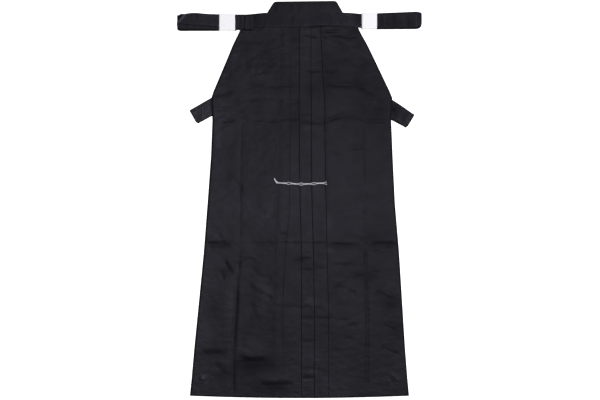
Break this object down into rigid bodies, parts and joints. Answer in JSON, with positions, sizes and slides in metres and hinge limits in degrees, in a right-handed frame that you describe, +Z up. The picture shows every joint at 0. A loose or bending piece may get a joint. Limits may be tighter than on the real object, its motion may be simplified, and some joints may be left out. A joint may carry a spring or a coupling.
{
  "type": "hakama trousers",
  "caption": "Pleated, divided hakama trousers laid flat with the front up: stiff back board, front waistband, folded belt straps in paper bands, and rear strap ends out of the side slits.",
  "frame": {"origin": "on the surface that the garment lies on, under the middle of its outline", "axes": "+Z up from the surface, +Y from the hem to the waist, +X to the right as seen from above with the waist at the top, towards the wearer's left leg"},
  "size_m": [0.6532, 1.0589, 0.0134],
  "materials": {
    "cloth": "black cotton-blend twill, soft sheen",
    "cloth_back": "black cotton-blend twill, soft sheen",
    "board_cloth": "black twill over a stiff board",
    "strap": "black twill strap, pressed",
    "paper": "plain white paper",
    "thread": "white cotton basting thread"
  },
  "bodies": {
    "root": {"front_right_leg": "cloth", "front_left_leg": "cloth", "back_right_leg": "cloth_back", "back_left_leg": "cloth_back", "machi": "cloth_back", "koshiita": "board_cloth", "front_waistband": "cloth", "himo_front_right": "strap", "himo_front_left": "strap", "himo_rear_right": "strap", "himo_rear_left": "strap", "paper_band_right": "paper", "paper_band_left": "paper"}
  },
  "joints": []
}
